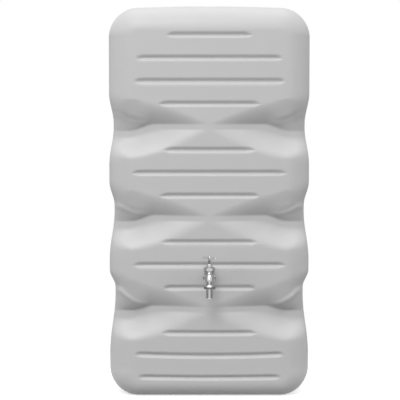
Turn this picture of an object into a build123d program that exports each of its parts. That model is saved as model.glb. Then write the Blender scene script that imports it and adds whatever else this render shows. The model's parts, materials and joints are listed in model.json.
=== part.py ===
from build123d import *
import os
from math import cos, pi, radians, sin, sqrt

# Wall rain barrel: a slim blow-moulded tank with three pinched waists, recessed stiffening ribs,
# a flush bayonet lid, two wall brackets and a draw-off tap with a hose tail.
# Frame: +Z up, the front faces -Y, origin on the floor at the middle of the tank's base.

os.makedirs("parts", exist_ok=True)

# ---------------------------------------------------------------- driving dimensions (mm)
tank_width = 784
tank_depth = 320
tank_height = 1520
wall = 5
crown = 12                   # rise of the top from its corners to its middle
outline_radius = 110         # the four corners of the front outline
edge_radius = 70             # the rounding between the front or back face and the edges

# rows of ribs and waists, evenly spaced up the front
row_base = 79.5
row_pitch = 88.6

# waists: each one is level at the middle of the front and deepens towards the sides
waist_rows = (3, 7, 11)
waist_floor = 24             # height of the flat strip at the bottom of the groove
waist_sections = (           # distance from the middle, depth, heights of the upper and lower flanks
    (4, 0.6, 3, 4),
    (115, 17, 47, 62),
    (230, 37, 82, 100),
    (430, 45, 110, 124),
)
waist_side_depth = 16        # depth all along the sides
waist_side_rise = 96         # heights of the upper and lower flanks of the side grooves
waist_side_fall = 118

# recessed ribs: (row, half length, how far it sits off its row)
ribs = (
    (0, 272, 0.5), (1, 284, 1.5), (2, 176, -2.5),
    (4, 174, -4), (5, 287, -4), (6, 177, -4),
    (8, 185, -1), (9, 289, -1), (10, 168, -1.5),
    (12, 186, -1), (13, 284, -2.5), (14, 275, -2.5), (15, 157, -2.5),
)
rib_height = 24
rib_depth = 8
rib_taper = 20

# neck, dish and bayonet lid
dish_radius = 92
dish_depth = 30
neck_bore = 67
neck_radius = 73
neck_rim = tank_height - 10
lug_reach = 4                # how far a lug stands out
lug_angle = 40
lug_count = 3
lid_radius = 84
lid_skirt = 4                # thickness of the lid's skirt and plate
lid_plate_bottom = neck_rim + 2
lid_lug_gap = 1.5
grip_length = 90             # the two finger wells in the lid
grip_width = 30
grip_offset = 28
grip_depth = 2

# tap, measured from the inlet's axis (up) and from the tank's front face (out)
tap_level = 470
thread_radius = 13.2         # 3/4 inch pipe thread
tap_reach = 52               # from the front face to the spindle's axis
spout_reach = 36             # from the spindle's axis to the outlet's axis
handle_swing = 38            # resting angle of the handle's bar
running = 0.08               # radial clearance of a turning fit
seat_gap = 0.1

# wall brackets
bracket_x = 200
bracket_y = 70
bracket_width = 30
bracket_thickness = 3
bracket_drop = 48
bracket_toe = 20             # from the screw to the front end of the top leg
bracket_hole = 3.25
wall_hole_drops = (13, 35)
wall_gap = 1
seat_margin = 3              # the seat's clearance on each side of the bracket

half_width = tank_width / 2
half_depth = tank_depth / 2
front = -half_depth


def disc_at(x, y, radius, bottom, top):
    """A plain upright cylinder between two levels."""
    with BuildPart() as disc:
        with BuildSketch(Plane.XY.offset(bottom)):
            with Locations((x, y)):
                Circle(radius)
        extrude(amount=top - bottom)
    return disc.part


# ---------------------------------------------------------------- tank
def waist_wedge(level, side, inset):
    """One half of a front waist: a flat-bottomed wedge that deepens from the middle to the side."""
    face = front + inset
    top = level + waist_floor / 2
    bottom = level - waist_floor / 2
    out = 0.3                # how far the wedge sticks out of the face, as a share of its depth
    with BuildPart() as wedge:
        for distance, depth, rise, fall in waist_sections:
            with BuildSketch(Plane.YZ.offset(side * distance)):
                with BuildLine():
                    Polyline(
                        (face + depth, top),
                        (face - out * depth, top + (1 + out) * rise),
                        (face - out * depth, bottom - (1 + out) * fall),
                        (face + depth, bottom),
                        close=True,
                    )
                make_face()
        loft(ruled=True)
    return wedge.part


def waist_side(level, side, inset):
    """The waist's groove along one side of the tank."""
    floor = half_width - inset - waist_side_depth
    top = level + waist_floor / 2
    bottom = level - waist_floor / 2
    out = 0.5                # how far the groove's tool sticks out of the side
    mouth = side * (floor + (1 + out) * waist_side_depth)
    with BuildPart() as groove:
        with BuildSketch(Plane.XZ.offset(-tank_depth)):
            with BuildLine():
                Polyline(
                    (side * floor, top),
                    (mouth, top + (1 + out) * waist_side_rise),
                    (mouth, bottom - (1 + out) * waist_side_fall),
                    (side * floor, bottom),
                    close=True,
                )
            make_face()
        extrude(amount=2 * tank_depth)
    return groove.part


def rib_spindle(level, half_length, facing, growth):
    """A long round bar with pointed ends, lying half in the wall, that leaves a recessed rib."""
    radius = ((rib_height / 2) ** 2 + rib_depth**2) / (2 * rib_depth)
    axis_y = facing * (half_depth + radius - rib_depth)
    radius = radius + growth
    reach = half_length + growth
    with BuildPart() as bar:
        with BuildSketch(Plane.XY.move(Location((0, axis_y, level)))):
            with BuildLine():
                Polyline(
                    (-reach, 0),
                    (-reach + rib_taper, radius),
                    (reach - rib_taper, radius),
                    (reach, 0),
                    close=True,
                )
            make_face()
        revolve(axis=Axis((0, axis_y, level), (1, 0, 0)))
    return bar.part


def tank_form(inset):
    """The tank's outer form, or its cavity when inset is the wall's thickness."""
    cutters = []
    for row in waist_rows:
        level = row_base + row * row_pitch
        for side in (-1, 1):
            cutters.append(waist_wedge(level, side, inset))
            cutters.append(waist_side(level, side, inset))
    rib_cutters = []
    for row, half_length, shift in ribs:
        level = row_base + row * row_pitch + shift
        for facing in (-1, 1):
            rib_cutters.append(rib_spindle(level, half_length, facing, inset))
    right = half_width - inset
    top = tank_height - inset
    with BuildPart() as form:
        with BuildSketch(Plane.XZ.offset(half_depth - inset)) as outline:
            with BuildLine():
                shoulder = top - crown
                Polyline((-right, shoulder), (-right, inset), (right, inset), (right, shoulder))
                ThreePointArc((right, shoulder), (0, top), (-right, shoulder))
            make_face()
            fillet(outline.vertices(), radius=outline_radius - inset)
        extrude(amount=-(tank_depth - 2 * inset))
        rims = form.edges().group_by(Axis.Y)
        fillet(rims[0] + rims[-1], radius=edge_radius - inset)
        add(cutters, mode=Mode.SUBTRACT)
        add(rib_cutters, mode=Mode.SUBTRACT)
    return form.part


def lugs(inner, outer, bottom, top, turn):
    """The bayonet's lugs: equal sectors of a ring, between two levels."""
    with BuildPart() as ring:
        for index in range(lug_count):
            start = turn + index * 360 / lug_count - lug_angle / 2
            with BuildSketch(Plane.XY.offset(bottom)):
                with BuildLine():
                    inside = CenterArc((0, 0), inner, start, lug_angle)
                    outside = CenterArc((0, 0), outer, start + lug_angle, -lug_angle)
                    Line(inside @ 1, outside @ 0)
                    Line(outside @ 1, inside @ 0)
                make_face()
            extrude(amount=top - bottom)
    return ring.part


dish_floor = tank_height - dish_depth
lug_bottom = neck_rim - 12
lug_top = neck_rim - 6
boss_radius = 14
boss_depth = 30
insert_radius = 7
insert_length = 18
bracket_seat = tank_height - crown * (bracket_x / half_width) ** 2 - 1
insert_bottom = bracket_seat - insert_length
seat_front = bracket_y - bracket_toe - 2

cavity = tank_form(wall)
with BuildPart() as tank_shell:
    add(tank_form(0))
    # seats for the wall brackets, cut level into the crowned top
    for side in (-1, 1):
        with BuildSketch(Plane.XY.offset(bracket_seat)):
            with Locations((side * bracket_x, half_depth)):
                Rectangle(bracket_width + 2 * seat_margin, 2 * (half_depth - seat_front))
        extrude(amount=crown, mode=Mode.SUBTRACT)
    # cavity, kept clear of the dish's floor and of the bosses that hold the bracket inserts
    roof = disc_at(0, 0, dish_radius + wall, dish_floor - wall, tank_height)
    boss_bottom = bracket_seat - boss_depth
    boss_left = disc_at(-bracket_x, bracket_y, boss_radius, boss_bottom, tank_height)
    boss_right = disc_at(bracket_x, bracket_y, boss_radius, boss_bottom, tank_height)
    inside = cavity - roof - boss_left - boss_right
    add(inside, mode=Mode.SUBTRACT)
    add(disc_at(0, 0, dish_radius, dish_floor, tank_height + 1), mode=Mode.SUBTRACT)
    add(disc_at(0, 0, neck_radius, dish_floor - wall, neck_rim))
    add(lugs(neck_radius - 1, neck_radius + lug_reach, lug_bottom, lug_top, 0))
    add(disc_at(0, 0, neck_bore, dish_floor - 2 * wall, neck_rim + 1), mode=Mode.SUBTRACT)
    # hole for the tap's tail
    with BuildSketch(Plane.XZ.offset(half_depth + 1)):
        with Locations((0, tap_level)):
            Circle(thread_radius + 0.3)
    extrude(amount=-(2 * wall + 2), mode=Mode.SUBTRACT)
    # sockets for the bracket inserts
    for side in (-1, 1):
        socket = disc_at(side * bracket_x, bracket_y, insert_radius, insert_bottom, tank_height)
        add(socket, mode=Mode.SUBTRACT)
print("cavity litres", round(inside.volume / 1e6, 1))
print("plastic litres", round(tank_shell.part.volume / 1e6, 2))
tank_shell.part.label = "tank_shell"
export_step(tank_shell.part, "parts/tank_shell.step")

# ---------------------------------------------------------------- lid
lid_bottom = dish_floor + 1.5
with BuildPart() as lid:
    add(disc_at(0, 0, lid_radius, lid_bottom, lid_plate_bottom + lid_skirt))
    add(disc_at(0, 0, lid_radius - lid_skirt, lid_bottom - 1, lid_plate_bottom), mode=Mode.SUBTRACT)
    lid_lug_top = lug_bottom - lid_lug_gap
    add(lugs(lid_radius - lid_skirt - 6, lid_radius - 1, lid_lug_top - 5, lid_lug_top, 60))
    # finger grip: two shallow wells that leave a bar between them
    for side in (-1, 1):
        with BuildSketch(Plane.XY.offset(lid_plate_bottom + lid_skirt)):
            with Locations((0, side * grip_offset)):
                SlotOverall(grip_length, grip_width)
        extrude(amount=-grip_depth, mode=Mode.SUBTRACT)
lid.part.label = "lid"
export_step(lid.part, "parts/lid.step")

with BuildPart() as lid_gasket:
    with BuildSketch(Plane.XY.offset(neck_rim + 0.1)):
        Circle(neck_radius)
        Circle(neck_bore + 0.5, mode=Mode.SUBTRACT)
    extrude(amount=lid_plate_bottom - neck_rim - 0.2)
lid_gasket.part.label = "lid_gasket"
export_step(lid_gasket.part, "parts/lid_gasket.step")


# ---------------------------------------------------------------- wall brackets
def wall_bracket(side):
    """An angle: one leg screwed down on the tank's top, the other hanging against the wall."""
    x = side * bracket_x
    toe = bracket_y - bracket_toe
    back = half_depth + wall_gap
    outer_back = back + bracket_thickness
    outer_top = bracket_seat + bracket_thickness
    with BuildPart() as angle:
        with BuildSketch(Plane.YZ.offset(x - bracket_width / 2)) as profile:
            with BuildLine():
                Polyline(
                    (toe, bracket_seat),
                    (back, bracket_seat),
                    (back, bracket_seat - bracket_drop),
                    (outer_back, bracket_seat - bracket_drop),
                    (outer_back, outer_top),
                    (toe, outer_top),
                    close=True,
                )
            make_face()
            heel = profile.vertices().sort_by_distance((x, outer_back, outer_top))
            fillet(heel[0], radius=bracket_thickness)
        extrude(amount=bracket_width)
        add(disc_at(x, bracket_y, 4.5, bracket_seat - 1, bracket_seat + 5), mode=Mode.SUBTRACT)
        with BuildSketch(Plane.XZ.offset(-half_depth)):
            for drop in wall_hole_drops:
                with Locations((x, bracket_seat - drop)):
                    Circle(bracket_hole)
        extrude(amount=-10, mode=Mode.SUBTRACT)
    return angle.part


with BuildPart() as wall_bracket_left:
    add(wall_bracket(-1))
wall_bracket_left.part.label = "wall_bracket_left"
export_step(wall_bracket_left.part, "parts/wall_bracket_left.step")

with BuildPart() as wall_bracket_right:
    add(wall_bracket(1))
wall_bracket_right.part.label = "wall_bracket_right"
export_step(wall_bracket_right.part, "parts/wall_bracket_right.step")

screw_seat = bracket_seat + bracket_thickness
with BuildPart() as bracket_inserts:
    for side in (-1, 1):
        x = side * bracket_x
        add(disc_at(x, bracket_y, insert_radius, insert_bottom, bracket_seat))
        add(disc_at(x, bracket_y, 4.05, insert_bottom + 2, bracket_seat + 1), mode=Mode.SUBTRACT)
bracket_inserts.part.label = "bracket_inserts"
export_step(bracket_inserts.part, "parts/bracket_inserts.step")

with BuildPart() as bracket_washers:
    for side in (-1, 1):
        x = side * bracket_x
        add(disc_at(x, bracket_y, 8, screw_seat, screw_seat + 1.6))
        add(disc_at(x, bracket_y, 4.2, screw_seat - 1, screw_seat + 2), mode=Mode.SUBTRACT)
bracket_washers.part.label = "bracket_washers"
export_step(bracket_washers.part, "parts/bracket_washers.step")

with BuildPart() as bracket_screws:
    for side in (-1, 1):
        add(disc_at(side * bracket_x, bracket_y, 4, bracket_seat - 14, screw_seat + 2))
        with BuildSketch(Plane.XY.offset(screw_seat + 1.6)):
            with Locations((side * bracket_x, bracket_y)):
                RegularPolygon(6.5, 6, major_radius=False)
        extrude(amount=5.3)
bracket_screws.part.label = "bracket_screws"
export_step(bracket_screws.part, "parts/bracket_screws.step")


# ---------------------------------------------------------------- tap
# Profiles are (radius, height) pairs round the spindle's axis, heights measured from the inlet's
# axis, or (radius, reach) pairs round the inlet's axis, reach measured out from the tank's front.
spindle_y = front - tap_reach
spout_y = spindle_y - spout_reach


def turned(profile, y=spindle_y, level=tap_level):
    """A piece turned round an upright axis."""
    with BuildPart() as piece:
        with BuildSketch(Plane.XZ.offset(-y)):
            with BuildLine():
                points = [(radius, level + height) for radius, height in profile]
                Polyline(*points, close=True)
            make_face()
        revolve(axis=Axis((0, y, 0), (0, 0, 1)))
    return piece.part


def turned_inlet(profile):
    """A piece turned round the inlet's axis, which is square to the tank's front."""
    with BuildPart() as piece:
        with BuildSketch(Plane.YZ):
            with BuildLine():
                points = [(front - reach, tap_level + radius) for radius, reach in profile]
                Polyline(*points, close=True)
            make_face()
        revolve(axis=Axis((0, 0, tap_level), (0, 1, 0)))
    return piece.part


def hexagon(across_flats, bottom, top, y=spindle_y, turn=0):
    """An upright hexagonal prism with its corners turned off at both ends."""
    corner = across_flats / sqrt(3)
    bevel = corner - across_flats / 2
    with BuildPart() as prism:
        with BuildSketch(Plane.XY.offset(tap_level + bottom)):
            with Locations((0, y)):
                RegularPolygon(across_flats / 2, 6, major_radius=False, rotation=turn)
        extrude(amount=top - bottom)
        limit = turned(
            (
                (0, bottom),
                (across_flats / 2, bottom),
                (corner, bottom + bevel * 0.6),
                (corner, top - bevel * 0.6),
                (across_flats / 2, top),
                (0, top),
            ),
            y,
        )
        add(limit, mode=Mode.INTERSECT)
    return prism.part


def inlet_hexagon(across_flats, near, far):
    """A hexagonal prism round the inlet's axis."""
    with BuildPart() as prism:
        with BuildSketch(Plane.XZ.offset(half_depth + near)):
            with Locations((0, tap_level)):
                RegularPolygon(across_flats / 2, 6, major_radius=False)
        extrude(amount=far - near)
    return prism.part


tail_end = -22
neck_start = 8
seat_level = 9.5
seat_bore = 6.5
chamber_radius = 12.1
barrel_top = 30
bonnet_seat = 31.5
spout_bend = 24
spout_height = 17
spout_bore = 8
spout_end = -27.5
nut_top = -23.5
nut_bottom = -32.5
nozzle_end = -69
nozzle_radius = 13
nozzle_bore = 9.5


def spout(radius, end):
    """A round bar along the spout's line: forward from the barrel, round a bend and down."""
    level = tap_level + spout_height
    start = Vector(0, spindle_y, level)
    bend = Vector(0, spout_y + spout_bend, level)
    middle = bend + Vector(0, -spout_bend * sin(pi / 4), -spout_bend * (1 - cos(pi / 4)))
    fall = Vector(0, spout_y, level - spout_bend)
    with BuildPart() as bar:
        with BuildLine() as line:
            Line(start, bend)
            ThreePointArc(bend, middle, fall)
            Line(fall, (0, spout_y, tap_level + end))
        with BuildSketch(Plane(origin=start, x_dir=(1, 0, 0), z_dir=(0, -1, 0))):
            Circle(radius)
        sweep(path=line.wires()[0])
    return bar.part


with BuildPart() as tap_body:
    # barrel with its collar, then the inlet with its wrench flats and threaded tail
    add(turned((
        (0, -15), (9, -15), (15, -12), (18, -6), (18, 12), (20.5, 17), (20.5, barrel_top),
        (0, barrel_top),
    )))
    add(turned_inlet((
        (0, tail_end), (thread_radius, tail_end), (thread_radius, neck_start),
        (14, neck_start), (14, tap_reach), (0, tap_reach),
    )))
    add(inlet_hexagon(30, neck_start, neck_start + 9))
    # spout, and the collar at its end that carries the union nut's thread
    add(spout(12, spout_end))
    add(turned((
        (0, -18), (12, -18), (16.5, nut_top), (16.5, spout_end), (0, spout_end),
    ), spout_y))
    # waterway: inlet bore, chamber below the seat, seat, chamber above it, spout
    add(turned_inlet((
        (0, tail_end - 1), (7.5, tail_end - 1), (7.5, tap_reach - 4), (0, tap_reach - 4),
    )), mode=Mode.SUBTRACT)
    add(turned((
        (0, -8), (10, -8), (10, 5), (seat_bore, 5), (seat_bore, seat_level),
        (chamber_radius, seat_level), (chamber_radius, barrel_top + 1), (0, barrel_top + 1),
    )), mode=Mode.SUBTRACT)
    add(spout(spout_bore, spout_end - 1), mode=Mode.SUBTRACT)
tap_body.part.label = "tap_body"
export_step(tap_body.part, "parts/tap_body.step")

with BuildPart() as wall_rosette:
    add(turned_inlet((
        (thread_radius + 0.2, 2.1), (20.4, 2.1), (20.4, 0.4), (25, 0.4), (25, 2), (23.5, 4.2),
        (20, 6.2), (16, 7.6), (thread_radius + 0.2, 7.6),
    )))
wall_rosette.part.label = "wall_rosette"
export_step(wall_rosette.part, "parts/wall_rosette.step")

with BuildPart() as outer_gasket:
    add(turned_inlet(((thread_radius + 0.2, 0), (20, 0), (20, 2), (thread_radius + 0.2, 2))))
outer_gasket.part.label = "outer_gasket"
export_step(outer_gasket.part, "parts/outer_gasket.step")

with BuildPart() as inner_gasket:
    add(turned_inlet((
        (thread_radius + 0.2, -wall - 2), (20.5, -wall - 2), (20.5, -wall), (thread_radius + 0.2, -wall),
    )))
inner_gasket.part.label = "inner_gasket"
export_step(inner_gasket.part, "parts/inner_gasket.step")

with BuildPart() as backnut:
    add(inlet_hexagon(38, -wall - 10, -wall - 2.1))
    add(turned_inlet((
        (0, -wall - 11), (thread_radius + 0.05, -wall - 11), (thread_radius + 0.05, 0), (0, 0),
    )), mode=Mode.SUBTRACT)
backnut.part.label = "backnut"
export_step(backnut.part, "parts/backnut.step")

with BuildPart() as bonnet_gasket:
    add(turned((
        (chamber_radius + 0.1, barrel_top), (19.5, barrel_top), (19.5, bonnet_seat),
        (chamber_radius + 0.1, bonnet_seat),
    )))
bonnet_gasket.part.label = "bonnet_gasket"
export_step(bonnet_gasket.part, "parts/bonnet_gasket.step")

# bonnet: screwed into the barrel; it holds the spindle's thread and the packing chamber
spindle_radius = 3.9
spindle_thread = 7
bonnet_foot = 22
bonnet_top = 45
packing_bottom = 47.5
packing_top = 53
packing_radius = 5.8
gland_radius = 8
with BuildPart() as bonnet:
    add(hexagon(38, bonnet_seat, bonnet_top))
    add(turned((
        (0, bonnet_foot), (chamber_radius - 0.1, bonnet_foot), (chamber_radius - 0.1, 34), (0, 34),
    )))
    add(turned(((0, 34), (gland_radius, 34), (gland_radius, packing_top), (0, packing_top))))
    add(turned((
        (0, bonnet_foot - 1), (spindle_thread + running, bonnet_foot - 1),
        (spindle_thread + running, bonnet_top - 2), (spindle_radius + running, bonnet_top - 2),
        (spindle_radius + running, packing_bottom), (packing_radius, packing_bottom),
        (packing_radius, packing_top + 1), (0, packing_top + 1),
    )), mode=Mode.SUBTRACT)
bonnet.part.label = "bonnet"
export_step(bonnet.part, "parts/bonnet.step")

with BuildPart() as gland_packing:
    add(turned((
        (spindle_radius + running, packing_bottom), (packing_radius - 0.05, packing_bottom),
        (packing_radius - 0.05, packing_top), (spindle_radius + running, packing_top),
    )))
gland_packing.part.label = "gland_packing"
export_step(gland_packing.part, "parts/gland_packing.step")

gland_top = 59
with BuildPart() as gland_nut:
    add(hexagon(20, bonnet_top + 2, gland_top - 3))
    add(turned((
        (0, gland_top - 5), (9, gland_top - 5), (9, gland_top - 3), (7.5, gland_top - 0.8),
        (5.5, gland_top), (0, gland_top),
    )))
    add(turned((
        (0, bonnet_top + 1), (gland_radius + 0.05, bonnet_top + 1),
        (gland_radius + 0.05, packing_top + 0.1), (spindle_radius + running, packing_top + 0.1),
        (spindle_radius + running, gland_top + 1),
        (0, gland_top + 1),
    )), mode=Mode.SUBTRACT)
gland_nut.part.label = "gland_nut"
export_step(gland_nut.part, "parts/gland_nut.step")

# spindle: threaded foot, plain shank, square end for the handle
spindle_foot = 18
square_start = 77
square_end = 86
square_size = 5.4
with BuildPart() as spindle:
    add(turned((
        (0, spindle_foot), (spindle_thread, spindle_foot), (spindle_thread, 35), (spindle_radius, 37),
        (spindle_radius, square_start), (0, square_start),
    )))
    with BuildSketch(Plane.XY.offset(tap_level + square_start)):
        with Locations((0, spindle_y)):
            Rectangle(square_size, square_size, rotation=-handle_swing)
    extrude(amount=square_end - square_start)
    screw_hole = disc_at(0, spindle_y, 1.6, tap_level + square_start + 1, tap_level + square_end + 1)
    jumper_hole = disc_at(0, spindle_y, 3, tap_level + spindle_foot - 1, tap_level + 27)
    add(screw_hole, mode=Mode.SUBTRACT)
    add(jumper_hole, mode=Mode.SUBTRACT)
spindle.part.label = "spindle"
export_step(spindle.part, "parts/spindle.step")

# T-handle: a round bar through a hub with a square eye
handle_length = 66
handle_radius = 3.5
handle_level = tap_level + 81.6
with BuildPart() as t_handle:
    add(turned((
        (0, square_start + 0.1), (5.2, square_start + 0.1), (6.2, square_start + 1.5),
        (6.2, square_end - 1.5), (5.2, square_end + 0.2),
        (0, square_end + 0.2),
    )))
    bar_line = (cos(radians(handle_swing)), -sin(radians(handle_swing)), 0)
    with BuildSketch(Plane(origin=(0, spindle_y, handle_level), z_dir=bar_line)):
        Circle(handle_radius)
    extrude(amount=handle_length / 2, both=True)
    ends = t_handle.edges().filter_by(GeomType.CIRCLE).sort_by_distance((0, spindle_y, handle_level))
    fillet(ends[-2:], radius=handle_radius - 0.8)
    with BuildSketch(Plane.XY.offset(tap_level + square_start - 1)):
        with Locations((0, spindle_y)):
            Rectangle(square_size + 0.15, square_size + 0.15, rotation=-handle_swing)
    extrude(amount=square_end - square_start + 3, mode=Mode.SUBTRACT)
t_handle.part.label = "t_handle"
export_step(t_handle.part, "parts/t_handle.step")

with BuildPart() as handle_screw:
    add(turned((
        (0, square_start + 3), (1.55, square_start + 3), (1.55, square_end + 0.3), (4.2, square_end + 0.3),
        (4.2, square_end + 1.2), (3, square_end + 2.4), (0, square_end + 2.6),
    )))
handle_screw.part.label = "handle_screw"
export_step(handle_screw.part, "parts/handle_screw.step")

# valve: a loose jumper under the spindle, with its washer and the nut that holds it
washer_bottom = seat_level + seat_gap
washer_top = washer_bottom + 2.5
with BuildPart() as valve_jumper:
    add(turned((
        (0, 6.6), (2, 6.6), (2, washer_top), (9.5, washer_top), (9.5, washer_top + 2),
        (5, washer_top + 2), (5, spindle_foot - 0.2), (2.9, spindle_foot - 0.2), (2.9, 26.5), (0, 26.5),
    )))
valve_jumper.part.label = "valve_jumper"
export_step(valve_jumper.part, "parts/valve_jumper.step")

with BuildPart() as valve_washer:
    add(turned(((2.05, washer_bottom), (9, washer_bottom), (9, washer_top), (2.05, washer_top))))
valve_washer.part.label = "valve_washer"
export_step(valve_washer.part, "parts/valve_washer.step")

with BuildPart() as washer_nut:
    add(hexagon(7, 7, washer_bottom - 0.05))
    add(disc_at(0, spindle_y, 2.05, tap_level + 6, tap_level + washer_bottom + 1), mode=Mode.SUBTRACT)
washer_nut.part.label = "washer_nut"
export_step(washer_nut.part, "parts/washer_nut.step")

# hose union: gasket, nozzle with a flange, and the nut that draws it up
gasket_bottom = spout_end - 1.5
flange_bottom = gasket_bottom - 2
with BuildPart() as hose_gasket:
    add(turned((
        (spout_bore + 0.5, spout_end), (16.2, spout_end), (16.2, gasket_bottom),
        (spout_bore + 0.5, gasket_bottom),
    ), spout_y))
hose_gasket.part.label = "hose_gasket"
export_step(hose_gasket.part, "parts/hose_gasket.step")

neck_in_nut = nozzle_radius - 0.6
with BuildPart() as hose_nozzle:
    add(turned((
        (nozzle_bore, gasket_bottom), (16.2, gasket_bottom), (16.2, flange_bottom),
        (neck_in_nut, flange_bottom), (neck_in_nut, nut_bottom - 0.5),
        (nozzle_radius, nut_bottom - 0.5), (nozzle_radius, nozzle_end + 1.5),
        (nozzle_radius - 1.2, nozzle_end), (nozzle_bore, nozzle_end),
    ), spout_y))
hose_nozzle.part.label = "hose_nozzle"
export_step(hose_nozzle.part, "parts/hose_nozzle.step")

nut_radius = 21.5
flute_count = 24
with BuildPart() as union_nut:
    add(turned((
        (18, nut_top), (nut_radius - 1, nut_top), (nut_radius, nut_top - 1),
        (nut_radius, nut_bottom + 1), (nut_radius - 1, nut_bottom),
        (nozzle_radius - 0.4, nut_bottom), (nozzle_radius - 0.4, flange_bottom - 0.1),
        (16.55, flange_bottom - 0.1), (16.55, nut_top - 1),
    ), spout_y))
    with BuildSketch(Plane.XY.offset(tap_level + nut_bottom - 1)):
        with Locations((0, spout_y)):
            with PolarLocations(nut_radius + 0.9, flute_count):
                Circle(1.6)
    extrude(amount=nut_top - nut_bottom + 2, mode=Mode.SUBTRACT)
union_nut.part.label = "union_nut"
export_step(union_nut.part, "parts/union_nut.step")
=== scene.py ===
import json
from math import cos, pi, radians, sin, sqrt

import bpy
import numpy as np
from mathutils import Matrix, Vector


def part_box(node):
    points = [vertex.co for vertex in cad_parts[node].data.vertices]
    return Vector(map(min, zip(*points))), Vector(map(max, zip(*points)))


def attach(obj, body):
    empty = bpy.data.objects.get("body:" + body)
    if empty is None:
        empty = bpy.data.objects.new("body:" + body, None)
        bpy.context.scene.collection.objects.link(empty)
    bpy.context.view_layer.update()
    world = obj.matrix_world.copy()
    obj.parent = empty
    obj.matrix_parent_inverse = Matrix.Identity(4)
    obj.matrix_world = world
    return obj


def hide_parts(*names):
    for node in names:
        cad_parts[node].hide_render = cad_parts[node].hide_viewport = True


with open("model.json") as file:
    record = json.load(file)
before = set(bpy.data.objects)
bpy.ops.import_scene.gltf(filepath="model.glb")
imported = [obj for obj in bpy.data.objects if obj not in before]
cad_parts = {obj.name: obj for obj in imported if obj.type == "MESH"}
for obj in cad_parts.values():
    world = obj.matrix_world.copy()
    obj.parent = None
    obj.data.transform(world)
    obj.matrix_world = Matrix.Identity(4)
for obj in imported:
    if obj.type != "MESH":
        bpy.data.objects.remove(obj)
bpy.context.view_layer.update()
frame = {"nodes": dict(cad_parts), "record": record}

MM = 0.001

# ---------------------------------------------------------------- sizes, taken from the frame
tank_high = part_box("tank_shell")[1]
half_width = tank_high.x
half_depth = tank_high.y
height = tank_high.z
lid_low, lid_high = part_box("lid")
gasket_low, gasket_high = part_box("lid_gasket")
tail_low, tail_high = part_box("outer_gasket")
insert_low, insert_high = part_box("bracket_inserts")
bracket_low, bracket_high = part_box("wall_bracket_right")

crown = 12 * MM              # the top rises this much from its corners to its middle
crown_fade = 90 * MM         # and pulls up the faces just below it over this height
body_height = height - crown
corner = 110 * MM            # corners of the front outline
side_round = 100 * MM        # rounding of the front face into the sides, the top and the base
top_round = 86 * MM
base_round = 60 * MM
back_round = 62 * MM         # rounding of the back, all the way round

row_base = 79.5 * MM         # rows of ribs and waists, evenly spaced up the front
row_pitch = 88.6 * MM
# by row: depth in mm, the ledge's strength, its climb outwards in mm, and the pull on the sides
waist_rows = {
    3: (47, 1.0, 50, 1.0),
    7: (49, 0.55, 30, 0.5),
    11: (54, 0.3, 34, 0.0),
}
# by row: half length in mm, and how far the rib sits off its row in mm
ribs = {
    0: (272, 0.5), 1: (284, 1.5), 2: (176, -2.5),
    4: (174, -4), 5: (287, -4), 6: (177, -4),
    8: (185, -1), 9: (289, -1), 10: (168, -1.5),
    12: (186, -1), 13: (284, -2.5), 14: (275, -2.5), 15: (157, -2.5),
}
rib_bow = {0: 3.5, 1: 7.0, 2: 2.0}          # how far the lowest ribs sag at their middle, in mm
bow_reach = 290 * MM         # the sag ends this far from the middle
rib_upper = 16 * MM          # height of a rib's upper wall, and of its lower one
rib_lower = 11 * MM
rib_offset = 1 * MM          # every rib's deepest line lies this far below its place
rib_depth = 8.5 * MM
rib_taper = 20 * MM          # length of a rib's rounded end

wall = 14 * MM               # the cavity lies this far behind the front and back faces
side_wall = 10 * MM

dish_floor = lid_low.z - 1.5 * MM
dish_radius = lid_high.x + 8 * MM
dish_flare = 5 * MM          # width and height of the dish's rounded mouth
neck_rim = gasket_low.z - 0.1 * MM
neck_radius = gasket_high.x
neck_bore = neck_radius - 6 * MM
neck_lip = 1 * MM            # bevel inside the neck's rim
lug_angle = 40               # degrees that each of the bayonet's lugs takes up
lug_count = 3
lug_reach = 4 * MM           # how far the neck's lugs stand out
lug_bottom = neck_rim - 12 * MM
lug_top = neck_rim - 6 * MM

lid_radius = lid_high.x
lid_skirt = 4 * MM           # thickness of the lid's skirt
lid_round = 2.5 * MM
lid_lug_height = 5 * MM
lid_lug_reach = 6 * MM
grip_length = 90 * MM        # the lid's finger wells, one on each side of a grip across its middle
grip_width = 30 * MM
grip_offset = 28 * MM
grip_depth = 2 * MM

tap_level = (tail_low.z + tail_high.z) / 2
tap_hole = 13.5 * MM

insert_radius = 7 * MM
bracket_x = insert_high.x - insert_radius
bracket_y = (insert_low.y + insert_high.y) / 2
bracket_seat = insert_high.z # level of the flats that the wall brackets lie on
seat_margin = 3 * MM
seat_front = bracket_low.y - 2 * MM
boss_radius = 14 * MM        # the solid plastic round each insert
boss_depth = 30 * MM
tool_top = height + 20 * MM  # the top of every tool that cuts downwards

# mesh spacing: rows in metres, columns as a share of half the width, and how many columns there
# are on a side; only the outside has ribs and is finer round them
OUTSIDE = {"row": 10 * MM, "first": 0.0026, "widest": 0.0235, "side": 13, "relief": True}
INSIDE = {"row": 30 * MM, "first": 0.02, "widest": 0.09, "side": 5, "relief": False}
column_growth = 1.25
row_least = 0.6 * MM
row_first = 0.9 * MM         # at both ends, growing by this share of the distance from the end
row_growth = 0.16
# distances from the row of a rib or waist, downwards and upwards, and the mesh rows' spacing there
rib_zones = [(-19.5 * MM, 19.5 * MM, 2.5 * MM)]
waist_zones = [(-45 * MM, 100 * MM, 3.8 * MM), (-150 * MM, 140 * MM, 6.5 * MM)]


def smooth(low, high, value):
    """0 below low, 1 above high, and an S-curve between."""
    t = np.clip((value - low) / (high - low), 0, 1)
    return t * t * (3 - 2 * t)


# ---------------------------------------------------------------- tank surface
def above_row(row, z):
    """How far a height lies above a row."""
    return z - row_base - row * row_pitch


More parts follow.
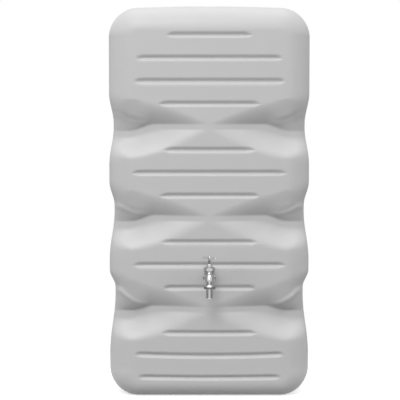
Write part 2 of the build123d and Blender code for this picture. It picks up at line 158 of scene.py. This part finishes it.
def waist_pinch(x, z):
    """How deep the front is pressed in, at a distance from the middle and a height.

    Each waist is a groove with a narrow floor. Its upper flank turns into two steps towards the
    sides, with a rounded bead on the ledge between them. Lengths in here are millimetres.
    """
    total = np.zeros_like(z)
    a = np.abs(x) / MM
    side = smooth(225, 300, a)                      # how far the steps have taken over
    out = np.clip((a - 245) / 117, 0, 1)            # along the ledge, from its start to its end
    spread = np.tanh((a / 195) ** 1.7)              # the depth's growth from the middle outwards
    plain_rise = 10 + 122 * np.tanh(a / 270)        # top of the upper flank, without a ledge
    fall = -13 - 128 * np.tanh(a / 210)             # foot of the lower flank
    floor_low = -12 - 28 * smooth(200, 330, a)      # lower edge of the groove's floor
    for row, (depth, ledge, climb, _) in waist_rows.items():
        h = above_row(row, z) / MM
        full = (depth + (2 + 10 * ledge) * side) * spread
        rise = plain_rise + 25 * ledge**2 * smooth(240, 390, a)
        # upper flank: one sweep at the middle, two steps with a crease between them at the sides
        floor_top = 10 - (30 - 9 * ledge) * smooth(215, 315, a)
        crease = 21 + 12 * ledge + climb * out**2
        sweep = np.clip((rise - h) / (rise - floor_top), 0, 1) ** 1.75
        over = np.clip((rise - h) / (rise - crease - 12), 0, 1)
        steep = 1 - smooth(crease - 16, crease + 16, h)
        under = np.clip((crease - 12 - h) / (crease - 12 - floor_top), 0, 1) ** (1 + 0.6 * ledge)
        steps = (0.42 - 0.18 * ledge) * over**1.1
        steps += (0.36 - 0.22 * ledge) * steep + (0.22 + 0.4 * ledge) * under
        upper = sweep + (steps - sweep) * side
        # lower flank: hollow at the middle, an S-curve at the sides
        share = np.clip((h - fall) / (floor_low - fall), 0, 1)
        hollow = share**1.9
        lower = hollow + (smooth(0, 1, share) - hollow) * smooth(90, 230, a)
        middle = (floor_top + floor_low) / 2
        pressed = full * np.where(h > middle, upper, lower)
        bead = ledge * (1 + 15 * out**2) * smooth(230, 290, a)
        bead = bead * np.exp(-(((h - crease + 12) / (6 + 6 * out)) ** 2))
        total += np.where((h < rise) & (h > fall), pressed - bead, 0)
    return np.maximum(total, 0) * MM


def side_pinch(z):
    """How far the sides are pulled in at a height. Lengths in here are millimetres."""
    total = np.zeros_like(z)
    for row, (_, _, _, pull) in waist_rows.items():
        h = above_row(row, z) / MM
        top = 15 + 65 * pull
        upper = 1 - smooth(top, top + 115 - 50 * pull, h)
        lower = smooth(-150 - 40 * pull, 60 * pull, h)
        total += (17 + 5.5 * pull) * upper * lower
    return total * MM


def rib_sink(x, z):
    """Depth of the recessed ribs, with a long upper wall and a shorter lower one."""
    total = np.zeros_like(z)
    for row, (reach, shift) in ribs.items():
        end = np.clip((np.abs(x) - reach * MM + rib_taper) / rib_taper, 0, 1)
        share = np.sqrt(1 - end**2) + 1e-6
        above = above_row(row, z) - shift * MM + rib_offset
        half = np.where(above > 0, rib_upper, rib_lower) * share
        offset = np.abs(above) / half
        total += rib_depth * share * np.where(offset < 1, 0.5 + 0.5 * np.cos(pi * offset), 0)
    return total


def row_bow(x, z):
    """How far the front sags at the lowest ribs, fading out to the row above them."""
    levels = [0] + [row_base + row * row_pitch for row in (*rib_bow, len(rib_bow))] + [height]
    sags = [0] + [bow * MM for bow in rib_bow.values()] + [0, 0]
    return np.interp(z, levels, sags) * np.clip(1 - (x / bow_reach) ** 2, 0, 1)


def inside_distance(x, z, width, top):
    """Distance from the front outline, and the direction towards it: 0 sideways, 1 up or down."""
    over_x = np.abs(x) - (width - corner)
    over_z = np.abs(z - top / 2) - (top / 2 - corner)
    outside = np.hypot(np.maximum(over_x, 0), np.maximum(over_z, 0))
    inside = np.minimum(np.maximum(over_x, over_z), 0)
    distance = corner - outside - inside
    turn = np.arctan2(np.maximum(over_z, 0), np.maximum(over_x, 1e-9)) / (pi / 2)
    return np.maximum(distance, 0), np.where(over_x > 0, turn, 1)


def edge_drop(radius, distance):
    """How far a rounded edge lies behind the face, at a distance inside the outline."""
    gap = np.clip(radius - distance, 0, radius)
    return radius - np.sqrt(radius**2 - gap**2)


def graded(length, first, growth, widest):
    """Steps from an edge: small ones first, growing up to the widest, ending exactly at length."""
    points = [0.0]
    step = first
    while points[-1] < length:
        points.append(points[-1] + step)
        step = min(step * growth, widest)
    points = np.array(points)
    return points * (length / points[-1])


def level_rows(grid):
    """Heights of the mesh rows: close together at ribs and waists and near both ends."""
    zones = [(row, zone) for row in ribs for zone in rib_zones]
    zones += [(row, zone) for row in waist_rows for zone in waist_zones]
    rows = [0.0]
    while rows[-1] < body_height:
        z = rows[-1]
        end = min(z, body_height - z)
        step = min(grid["row"], row_first + row_growth * max(end, 0))
        if grid["relief"]:
            for row, (below, over, spacing) in zones:
                if below < above_row(row, z) < over:
                    step = min(step, spacing)
        rows.append(z + max(step, row_least))
    rows = np.array(rows)
    return rows * (body_height / rows[-1])


def tank_form(name, inset_side, inset_face, grid):
    """The closed form of the tank: loops of points, one per row, closed by a cap at each end."""
    rows = level_rows(grid)
    edge = graded(1.0, grid["first"], column_growth, grid["widest"])
    across = np.concatenate([-1 + edge, (1 - edge[::-1])[1:]])
    side = np.linspace(0, 1, grid["side"] + 2)[1:-1]
    width = half_width - inset_side
    depth = half_depth - inset_face
    loops = []
    for z in rows:
        end = min(z, body_height - z)
        lean = max(corner - end, 0)
        reach = width - corner + sqrt(corner**2 - lean**2)
        x = across * reach
        level = np.full_like(x, z)
        distance, turn = inside_distance(x, level, width, body_height)
        ending = top_round if z > body_height / 2 else base_round
        front_radius = side_round + (ending - side_round) * turn
        drop = np.hypot(edge_drop(front_radius, distance), waist_pinch(x, level))
        back_y = depth - edge_drop(back_round, distance)
        sink = rib_sink(x, level) if grid["relief"] else 0
        narrow = np.sign(x) * side_pinch(level) * (np.abs(x) / reach) ** 4
        front = np.stack([x - narrow, drop - depth + sink, level - row_bow(x, level)], 1)
        back = np.stack([x - narrow, back_y - sink, level], 1)
        right = front[-1] + (back[-1] - front[-1]) * side[:, None]
        left = back[0] + (front[0] - back[0]) * side[:, None]
        loops.append(np.concatenate([front, right, back[::-1], left]))
    loops = np.array(loops)
    lift = crown * (1 - (loops[..., 0] / half_width) ** 2)
    loops[..., 2] += lift * smooth(body_height - crown_fade, body_height, loops[..., 2])
    # the top and the base are set in as much as the sides
    loops[..., 2] += inset_side * (1 - 2 * loops[..., 2] / height)
    return make_form(name, loops, len(across), len(side))


def mesh_piece(name, points, faces):
    """An object made of these points and faces."""
    mesh = bpy.data.meshes.new(name)
    mesh.from_pydata(points, [], faces)
    mesh.validate()
    piece = bpy.data.objects.new(name, mesh)
    bpy.context.scene.collection.objects.link(piece)
    return piece


def make_form(name, loops, columns, sides):
    """Mesh of the loops, with each end closed by a sheet from the front edge to the back edge."""
    count, around, _ = loops.shape
    points = list(map(tuple, loops.reshape(-1, 3)))
    faces = []
    for i in range(count - 1):
        for j in range(around):
            k = (j + 1) % around
            faces.append((i * around + j, i * around + k, (i + 1) * around + k, (i + 1) * around + j))
    for row, facing in ((0, -1), (count - 1, 1)):
        first = row * around
        front = [first + j for j in range(columns)]
        right = [first + columns + j for j in range(sides)]
        back = [first + columns + sides + j for j in range(columns)][::-1]
        left = [first + 2 * columns + sides + j for j in range(sides)][::-1]
        sheet = [front]
        for step in range(sides):
            share = (step + 1) / (sides + 1)
            line = [left[step]]
            for j in range(1, columns - 1):
                points.append(tuple(
                    a + (b - a) * share for a, b in zip(points[front[j]], points[back[j]])
                ))
                line.append(len(points) - 1)
            line.append(right[step])
            sheet.append(line)
        sheet.append(back)
        for low, high in zip(sheet, sheet[1:]):
            for j in range(columns - 1):
                quad = (low[j], low[j + 1], high[j + 1], high[j])
                faces.append(quad if facing > 0 else quad[::-1])
    return mesh_piece(name, points, faces)


def turned(name, profile, steps=96, centre=(0, 0)):
    """A closed form turned round an upright axis from (radius, height) points.

    They run from the bottom outwards and up. A profile that doesn't start on the axis makes a ring.
    """
    points = []
    rings = []
    for radius, level in profile:
        if radius == 0:
            rings.append([len(points)])
            points.append((centre[0], centre[1], level))
            continue
        ring = []
        for step in range(steps):
            angle = 2 * pi * step / steps
            ring.append(len(points))
            points.append((centre[0] + radius * cos(angle), centre[1] + radius * sin(angle), level))
        rings.append(ring)
    faces = []
    if profile[0][0] > 0:
        rings.append(rings[0])
    for low, high in zip(rings, rings[1:]):
        for step in range(steps):
            after = (step + 1) % steps
            if len(low) == 1:
                faces.append((low[0], high[after], high[step]))
            elif len(high) == 1:
                faces.append((low[step], low[after], high[0]))
            else:
                faces.append((low[step], low[after], high[after], high[step]))
    return mesh_piece(name, points, faces)


def combine(piece, tool, operation):
    """Cut the tool out of the piece, or join it on, and remove the tool."""
    change = piece.modifiers.new("change", "BOOLEAN")
    change.operation = operation
    change.solver = "MANIFOLD"
    change.object = tool
    bpy.context.view_layer.objects.active = piece
    bpy.ops.object.modifier_apply(modifier=change.name)
    bpy.data.objects.remove(tool)


def shade(piece, angle=35):
    """Smooth shading that keeps edges sharper than the angle crisp."""
    for other in bpy.context.selected_objects:
        other.select_set(False)
    piece.select_set(True)
    bpy.context.view_layer.objects.active = piece
    bpy.ops.object.shade_smooth_by_angle(angle=radians(angle))
    piece.select_set(False)


def stacked(name, loops):
    """A closed form through loops of points, from the lowest to the highest."""
    around = len(loops[0])
    points = [tuple(point) for loop in loops for point in loop]
    faces = [tuple(range(around))[::-1]]
    for row in range(len(loops) - 1):
        for j in range(around):
            k = (j + 1) % around
            low = row * around
            high = low + around
            faces.append((low + j, low + k, high + k, high + j))
    last = (len(loops) - 1) * around
    faces.append(tuple(range(last, last + around)))
    return mesh_piece(name, points, faces)


def block(name, low, high):
    """A plain box between two corners."""
    outline = [(low[0], low[1]), (high[0], low[1]), (high[0], high[1]), (low[0], high[1])]
    return stacked(name, [[(x, y, z) for x, y in outline] for z in (low[2], high[2])])


def disc(name, radius, bottom, top, centre=(0, 0)):
    """A plain upright cylinder."""
    return turned(name, [(0, bottom), (radius, bottom), (radius, top), (0, top)], centre=centre)


def lug(name, inner, outer, bottom, top, middle):
    """One of the bayonet's lugs: a sector of a ring, centred on an angle, with eased corners."""
    ease = 0.8 * MM
    half_steps = 8
    loops = []
    for inset, level in ((ease, bottom), (0, bottom + ease), (0, top - ease), (ease, top)):
        spread = (radians(lug_angle / 2) - inset / outer) / half_steps
        angles = [radians(middle) + spread * step for step in range(-half_steps, half_steps + 1)]
        outside = [((outer - inset) * cos(a), (outer - inset) * sin(a), level) for a in angles]
        inside = [(inner * cos(a), inner * sin(a), level) for a in angles[::-1]]
        loops.append(outside + inside)
    return stacked(name, loops)


def finger_well(name, y, top):
    """The tool for one of the lid's finger wells: a stadium with a rounded floor and a soft rim."""
    floor = top - grip_depth
    # inset from the outline in mm, and height
    levels = ((2.2, floor), (0.8, floor + 0.5 * MM), (0, floor + 1.4 * MM))
    levels += ((0, top - 0.4 * MM), (-0.8, top + 0.2 * MM), (-0.8, top + 4 * MM))
    reach = (grip_length - grip_width) / 2
    loops = []
    for inset, level in levels:
        radius = grip_width / 2 - inset * MM
        loop = []
        for side, first in ((1, -90), (-1, 90)):
            for step in range(13):
                angle = radians(first + 15 * step)
                loop.append((side * reach + radius * cos(angle), y + radius * sin(angle), level))
        loops.append(loop)
    return stacked(name, loops)


# ---------------------------------------------------------------- tank
def cavity_form():
    """The space inside the tank, kept clear of the dish and of the two bosses in the roof."""
    inside = tank_form("inside", side_wall, wall, INSIDE)
    combine(inside, disc("roof", dish_radius + wall, dish_floor - 6 * MM, tool_top), "DIFFERENCE")
    for side in (-1, 1):
        place = (side * bracket_x, bracket_y)
        boss = disc("boss", boss_radius, bracket_seat - boss_depth, tool_top, place)
        combine(inside, boss, "DIFFERENCE")
    return inside


def make_tank():
    """The hollow tank with its dish and neck, bracket seats and sockets, and the tap's hole."""
    piece = tank_form("tank", 0, 0, OUTSIDE)
    combine(piece, cavity_form(), "DIFFERENCE")
    floor_bevel = 2 * MM
    profile = [(neck_radius, dish_floor), (dish_radius - floor_bevel, dish_floor)]
    profile += [(dish_radius, dish_floor + floor_bevel), (dish_radius, height - 1.6 * dish_flare)]
    # the rounded mouth, outwards and down from the top as shares of the flare
    for outwards, down in ((0.08, 1), (0.3, 0.6), (0.62, 0.3), (1, 0.12)):
        profile.append((dish_radius + outwards * dish_flare, height - down * dish_flare))
    profile += [(dish_radius + dish_flare, tool_top), (neck_radius, tool_top)]
    combine(piece, turned("dish", profile), "DIFFERENCE")
    combine(piece, disc("trim", neck_radius + 2 * MM, neck_rim, tool_top), "DIFFERENCE")
    bore = turned("bore", [
        (0, dish_floor - 2 * wall),
        (neck_bore, dish_floor - 2 * wall),
        (neck_bore, neck_rim - neck_lip),
        (neck_bore + neck_lip, neck_rim),
        (neck_bore + neck_lip, tool_top),
        (0, tool_top),
    ])
    combine(piece, bore, "DIFFERENCE")
    for index in range(lug_count):
        outer = neck_radius + lug_reach
        middle = index * 360 / lug_count
        tooth = lug("tooth", neck_radius - MM, outer, lug_bottom, lug_top, middle)
        combine(piece, tooth, "UNION")
    for side in (-1, 1):
        reach = (bracket_high.x - bracket_low.x) / 2 + seat_margin
        low = (side * bracket_x - reach, seat_front, bracket_seat)
        high = (side * bracket_x + reach, half_depth + 10 * MM, tool_top)
        combine(piece, block("seat", low, high), "DIFFERENCE")
        socket = disc("socket", insert_radius, insert_low.z, tool_top, (side * bracket_x, bracket_y))
        combine(piece, socket, "DIFFERENCE")
    # the tap's hole goes through the front wall only
    drill = disc("drill", tap_hole, 0.8 * half_depth, 1.2 * half_depth)
    drill.rotation_euler = (pi / 2, 0, 0)
    drill.location = (0, 0, tap_level)
    combine(piece, drill, "DIFFERENCE")
    return piece


def make_lid():
    """The bayonet lid: a rounded plate with a skirt, three lugs inside it and two finger wells."""
    plate = gasket_high.z + 0.1 * MM     # the plate's underside, just clear of the gasket
    inner = lid_radius - lid_skirt
    bevel = 0.5 * MM
    profile = [(0, plate), (inner - MM, plate), (inner, plate - MM), (inner, lid_low.z)]
    profile += [(lid_radius - bevel, lid_low.z), (lid_radius, lid_low.z + bevel)]
    for step in range(7):
        angle = radians(15 * step)
        radius = lid_radius - lid_round * (1 - cos(angle))
        profile.append((radius, lid_high.z - lid_round * (1 - sin(angle))))
    profile.append((0, lid_high.z))
    piece = turned("lid_cap", profile, 144)
    for index in range(lug_count):
        middle = (index + 0.5) * 360 / lug_count
        lug_edge = inner - lid_lug_reach
        top = lid_low.z + lid_lug_height
        tooth = lug("tooth", lug_edge, lid_radius - MM, lid_low.z, top, middle)
        combine(piece, tooth, "UNION")
    for side in (-1, 1):
        combine(piece, finger_well("well", side * grip_offset, lid_high.z), "DIFFERENCE")
    return piece


tank = make_tank()
shade(tank)
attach(tank, "tank")
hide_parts("tank_shell")

lid = make_lid()
shade(lid)
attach(lid, "lid_cover")
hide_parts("lid")


# ---------------------------------------------------------------- materials
def material(name, colour, roughness, metallic=0.0):
    """A material and its shader, with plain values."""
    mat = bpy.data.materials.new(name)
    mat.use_nodes = True
    shader = mat.node_tree.nodes["Principled BSDF"]
    shader.inputs["Base Color"].default_value = (*colour, 1)
    shader.inputs["Roughness"].default_value = roughness
    shader.inputs["Metallic"].default_value = metallic
    return mat, shader


def add_node(tree, kind, **inputs):
    """A node of a kind with plain values on its inputs, whose names may hold _ for a space."""
    node = tree.nodes.new(kind)
    for key, value in inputs.items():
        node.inputs[key.replace("_", " ")].default_value = value
    return node


def grey(tone):
    """A neutral colour."""
    return (tone, tone, tone)


def surface(name, colour, roughness, patch, drift, grain, relief, metallic=0.0, cells=False):
    """A finish with drifting tone and shine, and a fine grain that is also raised.

    patch and grain are how many patches and grains there are in a metre, drift is how much tone
    and shine vary, relief is the grain's height in mm, and cells gives the patches hard edges.
    """
    mat, shader = material(name, colour, roughness, metallic)
    tree = mat.node_tree
    place = tree.nodes.new("ShaderNodeTexCoord")
    if cells:
        patches = add_node(tree, "ShaderNodeTexVoronoi", Scale=patch)
        level = patches.outputs["Distance"]
    else:
        patches = add_node(tree, "ShaderNodeTexNoise", Scale=patch, Detail=4.0, Roughness=0.6)
        level = patches.outputs["Fac"]
    grains = add_node(tree, "ShaderNodeTexNoise", Scale=grain, Detail=2.0, Roughness=0.5)
    tone = tree.nodes.new("ShaderNodeMix")
    tone.data_type = "RGBA"
    tone.inputs["A"].default_value = (*[part * (1 - drift) for part in colour], 1)
    tone.inputs["B"].default_value = (*[min(part * (1 + drift), 1) for part in colour], 1)
    shine = add_node(tree, "ShaderNodeMapRange", From_Min=0.3, From_Max=0.7)
    shine.inputs["To Min"].default_value = roughness * (1 - 1.5 * drift)
    shine.inputs["To Max"].default_value = roughness * (1 + 1.5 * drift)
    bump = add_node(tree, "ShaderNodeBump", Strength=0.6, Distance=relief * MM)
    tree.links.new(place.outputs["Object"], patches.inputs["Vector"])
    tree.links.new(place.outputs["Object"], grains.inputs["Vector"])
    tree.links.new(level, tone.inputs["Factor"])
    tree.links.new(tone.outputs["Result"], shader.inputs["Base Color"])
    tree.links.new(grains.outputs["Fac"], shine.inputs["Value"])
    tree.links.new(shine.outputs["Result"], shader.inputs["Roughness"])
    tree.links.new(grains.outputs["Fac"], bump.inputs["Height"])
    tree.links.new(bump.outputs["Normal"], shader.inputs["Normal"])
    return mat


finishes = {
    "tank": surface("tank_plastic", grey(0.5), 0.45, patch=14, drift=0.025, grain=700, relief=0.12),
    "lid": surface("lid_plastic", grey(0.42), 0.42, patch=30, drift=0.04, grain=900, relief=0.1),
    "rubber": surface("rubber", grey(0.035), 0.7, patch=60, drift=0.2, grain=1400, relief=0.06),
    "galvanised": surface("zinc", (0.6, 0.62, 0.64), 0.38, patch=160, drift=0.18, grain=600,
                          relief=0.03, metallic=1, cells=True),
    "brass": surface("brass", (0.72, 0.53, 0.26), 0.26, patch=80, drift=0.1, grain=1600,
                     relief=0.02, metallic=1),
    "plated": surface("nickel_chrome", grey(0.56), 0.2, patch=90, drift=0.06, grain=1200,
                      relief=0.008, metallic=1),
    "fibre": surface("fibre", (0.1, 0.09, 0.085), 0.85, patch=200, drift=0.2, grain=2200,
                     relief=0.08),
}
for piece, slot in ((tank, "tank"), (lid, "lid")):
    piece.data.materials.clear()         # cutting leaves empty material places behind
    piece.data.materials.append(finishes[slot])
# a rougher, darker copy of the chrome for the union nut and the spindle; its darker tone is painted
# shade, standing in for the shadow under the collar and the dark surroundings these parts reflect
shade_darkened_chrome = surface("darkened_chrome_for_shade", grey(0.26), 0.3, patch=90, drift=0.08, grain=1200, relief=0.01,
                metallic=1)
shade_darkened_nodes = ("union_nut", "spindle")
for part in frame["record"]["subparts"]:
    node = frame["nodes"][part["node"]]
    node.data.materials.clear()
    is_shade_darkened = part["node"] in shade_darkened_nodes
    node.data.materials.append(shade_darkened_chrome if is_shade_darkened else finishes[part["material_slot"]])
    shade(node)


# ---------------------------------------------------------------- stage, lights, camera
def joined(tree, operation, first, second):
    """The output of a maths node on two sockets; the second may be a plain number."""
    node = tree.nodes.new("ShaderNodeMath")
    node.operation = operation
    tree.links.new(first, node.inputs[0])
    if isinstance(second, float):
        node.inputs[1].default_value = second
    else:
        tree.links.new(second, node.inputs[1])
    return node.outputs[0]


def ramp(tree, source, start, end, low=0.0, high=1.0):
    """The output of a straight ramp, low at one value of the source and high at another."""
    node = add_node(tree, "ShaderNodeMapRange", From_Min=start, From_Max=end)
    node.inputs["To Min"].default_value = low
    node.inputs["To Max"].default_value = high
    tree.links.new(source, node.inputs["Value"])
    return node.outputs["Result"]


def studio_floor(half_size, fade_start, fade_end, glow):
    """A white floor that fades into the white surroundings between two distances."""
    mat, shader = material("floor", grey(0.9), 0.9)
    tree = mat.node_tree
    shader.inputs["Emission Color"].default_value = (1, 1, 1, 1)
    shader.inputs["Emission Strength"].default_value = glow
    place = tree.nodes.new("ShaderNodeTexCoord")
    reach = tree.nodes.new("ShaderNodeVectorMath")
    reach.operation = "LENGTH"
    fade = add_node(tree, "ShaderNodeMapRange", From_Min=fade_start, From_Max=fade_end)
    fade.interpolation_type = "SMOOTHSTEP"
    clear = tree.nodes.new("ShaderNodeBsdfTransparent")
    blend = tree.nodes.new("ShaderNodeMixShader")
    tree.links.new(place.outputs["Object"], reach.inputs[0])
    tree.links.new(reach.outputs["Value"], fade.inputs["Value"])
    tree.links.new(fade.outputs["Result"], blend.inputs["Fac"])
    tree.links.new(shader.outputs["BSDF"], blend.inputs[1])
    tree.links.new(clear.outputs["BSDF"], blend.inputs[2])
    tree.links.new(blend.outputs["Shader"], tree.nodes["Material Output"].inputs["Surface"])
    corners = [(half_size * x, half_size * y, 0) for x, y in ((-1, -1), (1, -1), (1, 1), (-1, 1))]
    floor = mesh_piece("floor", corners, [(0, 1, 2, 3)])
    floor.data.materials.append(mat)
    floor.visible_diffuse = False        # the object is lit as if there were no floor


def studio_sky(sky, ground, overhead, surround):
    """Soft light from all round above the horizon, on a white surround.

    Reflections also see a white card in front of the object, a lamp overhead, and an even
    surround where there is neither. Every limit below is a part of the direction's unit vector.
    """
    world = bpy.data.worlds.new("studio")
    bpy.context.scene.world = world
    world.use_nodes = True
    tree = world.node_tree
    light = tree.nodes["Background"]
    light.inputs["Color"].default_value = (1, 1, 1, 1)
    path = tree.nodes.new("ShaderNodeLightPath")
    place = tree.nodes.new("ShaderNodeTexCoord")
    split = tree.nodes.new("ShaderNodeSeparateXYZ")
    tree.links.new(place.outputs["Generated"], split.inputs[0])
    along = split.outputs
    dome = ramp(tree, along["Z"], -0.1, 0.15, 0, sky)
    below = ramp(tree, along["Z"], -1.0, -0.5, ground, 0.1 * ground)
    card = 1.0
    for axis, outside, inside in (("X", -0.6, -0.4), ("X", 0.6, 0.4), ("Y", 0, -0.4),
                                  ("Z", -0.95, -0.75)):
        card = joined(tree, "MULTIPLY", ramp(tree, along[axis], outside, inside), card)
    lamp = ramp(tree, along["Z"], 0.75, 0.95, 0, overhead)
    mirrored = joined(tree, "ADD", ramp(tree, card, 0, 1, surround, 1), lamp)
    mirrored = joined(tree, "MULTIPLY", mirrored, path.outputs["Is Glossy Ray"])
    total = joined(tree, "MAXIMUM", joined(tree, "ADD", dome, below), mirrored)
    tree.links.new(total, light.inputs["Strength"])
    white = add_node(tree, "ShaderNodeBackground", Color=(1, 1, 1, 1), Strength=1.0)
    choose = tree.nodes.new("ShaderNodeMixShader")
    tree.links.new(path.outputs["Is Camera Ray"], choose.inputs["Fac"])
    tree.links.new(light.outputs[0], choose.inputs[1])
    tree.links.new(white.outputs[0], choose.inputs[2])
    tree.links.new(choose.outputs[0], tree.nodes["World Output"].inputs["Surface"])


def area_light(name, place, aim, size, power):
    """A soft lamp pointed at a place. Its size is a width and a height in metres."""
    lamp = bpy.data.lights.new(name, "AREA")
    lamp.shape = "RECTANGLE"
    lamp.size, lamp.size_y = size
    lamp.energy = power
    piece = bpy.data.objects.new(name, lamp)
    piece.location = place
    piece.rotation_euler = (Vector(aim) - Vector(place)).to_track_quat("-Z", "Y").to_euler()
    bpy.context.scene.collection.objects.link(piece)
    return piece


studio_floor(half_size=6, fade_start=0.3, fade_end=1.5, glow=0.45)
studio_sky(sky=1.03, ground=0.5, overhead=2.8, surround=0.32)
area_light("key", (-0.8, -3.2, 3.8), aim=(0, 0, 0.8), size=(1.6, 1.6), power=69)
for name, x, power in (("left_strip", -3.2, 22), ("right_strip", 3.2, 17)):
    strip = area_light(name, (x, -1.6, 0.9), aim=(0, 0, 0.7), size=(0.8, 2.0), power=power)
    strip.visible_glossy = False     # no hard spots on the tap

bpy.context.scene.view_settings.view_transform = "Standard"
eye = Vector((-0.036, -5.5, 1.13))
target = Vector((eye.x, 0, 0.7605))  # half a millimetre above the tank's middle
lens = bpy.data.cameras.new("camera")
lens.sensor_width = 36               # a long lens, 5.5 m away
lens.lens = 124.74
camera = bpy.data.objects.new("camera", lens)
camera.location = eye
camera.rotation_euler = (target - eye).to_track_quat("-Z", "Y").to_euler()
bpy.context.scene.collection.objects.link(camera)
bpy.context.scene.camera = camera

bpy.context.view_layer.update()
